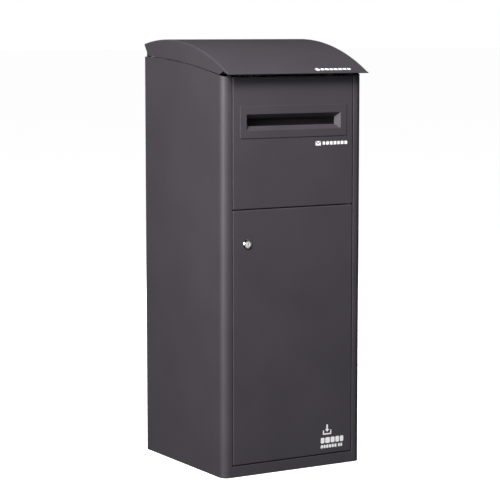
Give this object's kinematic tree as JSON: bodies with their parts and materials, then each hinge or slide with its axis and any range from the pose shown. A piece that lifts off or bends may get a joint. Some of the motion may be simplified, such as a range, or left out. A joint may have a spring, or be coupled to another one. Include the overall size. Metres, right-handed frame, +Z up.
{
  "type": "parcel and letter drop box",
  "caption": "Free-standing steel drop box with an arched hinged lid for parcels, a funnel letter slot and a locked collection door.",
  "frame": {"origin": "centre of the cabinet's base on the ground, in the middle of the four floor-anchor holes", "axes": "+Z up, +X to the right seen from the front, +Y towards the back"},
  "size_m": [0.385, 0.4077, 1.0195],
  "materials": {
    "body_paint": "fine-textured satin powder coat, dark warm grey",
    "lid_paint": "fine-textured satin powder coat, dark warm grey",
    "galvanised": "zinc-plated sheet",
    "plated": "bright zinc plating",
    "pin_steel": "ground steel",
    "rivet_metal": "plain",
    "nylon": "black nylon",
    "buffer_rubber": "black rubber",
    "lock_chrome": "polished",
    "plug_metal": "satin"
  },
  "bodies": {
    "cabinet": {"body_wrap": "body_paint", "back_panel": "body_paint", "base_plate": "body_paint", "upper_front_panel": "body_paint", "letter_plate": "body_paint", "letter_plate_nuts": "plated", "letter_chute": "body_paint", "mid_rail": "body_paint", "top_rail": "body_paint", "lid_buffers": "buffer_rubber", "door_buffers": "buffer_rubber", "frame_rivets": "rivet_metal", "hinge_bracket_left": "plated", "hinge_bracket_right": "plated", "lid_pins": "pin_steel", "lid_pin_clips": "pin_steel", "lid_stop_studs": "pin_steel", "lid_stop_sleeves": "nylon", "door_pivot_bushes": "nylon"},
    "lid": {"lid_shell": "lid_paint", "lid_front_channel": "lid_paint", "sector_plate_left": "galvanised", "sector_plate_right": "galvanised", "drop_plate": "galvanised", "sector_rivets": "rivet_metal", "lid_bushes": "nylon"},
    "door": {"door_skin": "body_paint", "door_stiffeners": "body_paint", "door_pivot_pins": "pin_steel", "lock_plate": "plated", "lock_housing": "lock_chrome", "lock_nut": "plated"},
    "lock_core": {"lock_plug": "plug_metal", "lock_cam": "plated", "cam_screw": "plated"}
  },
  "joints": [
    {"name": "lid_hinge", "type": "hinge", "parent": "cabinet", "child": "lid", "pos_m": [0, 0.17, 0.99], "axis": [-1, 0, 0], "range_deg": [0, 60]},
    {"name": "door_hinge", "type": "hinge", "parent": "cabinet", "child": "door", "pos_m": [0.1595, -0.184, 0.328], "axis": [0, 0, 1], "range_deg": [0, 100]},
    {"name": "lock_turn", "type": "hinge", "parent": "door", "child": "lock_core", "pos_m": [-0.1265, -0.18, 0.548], "axis": [0, 1, 0], "range_deg": [0, 90]}
  ]
}
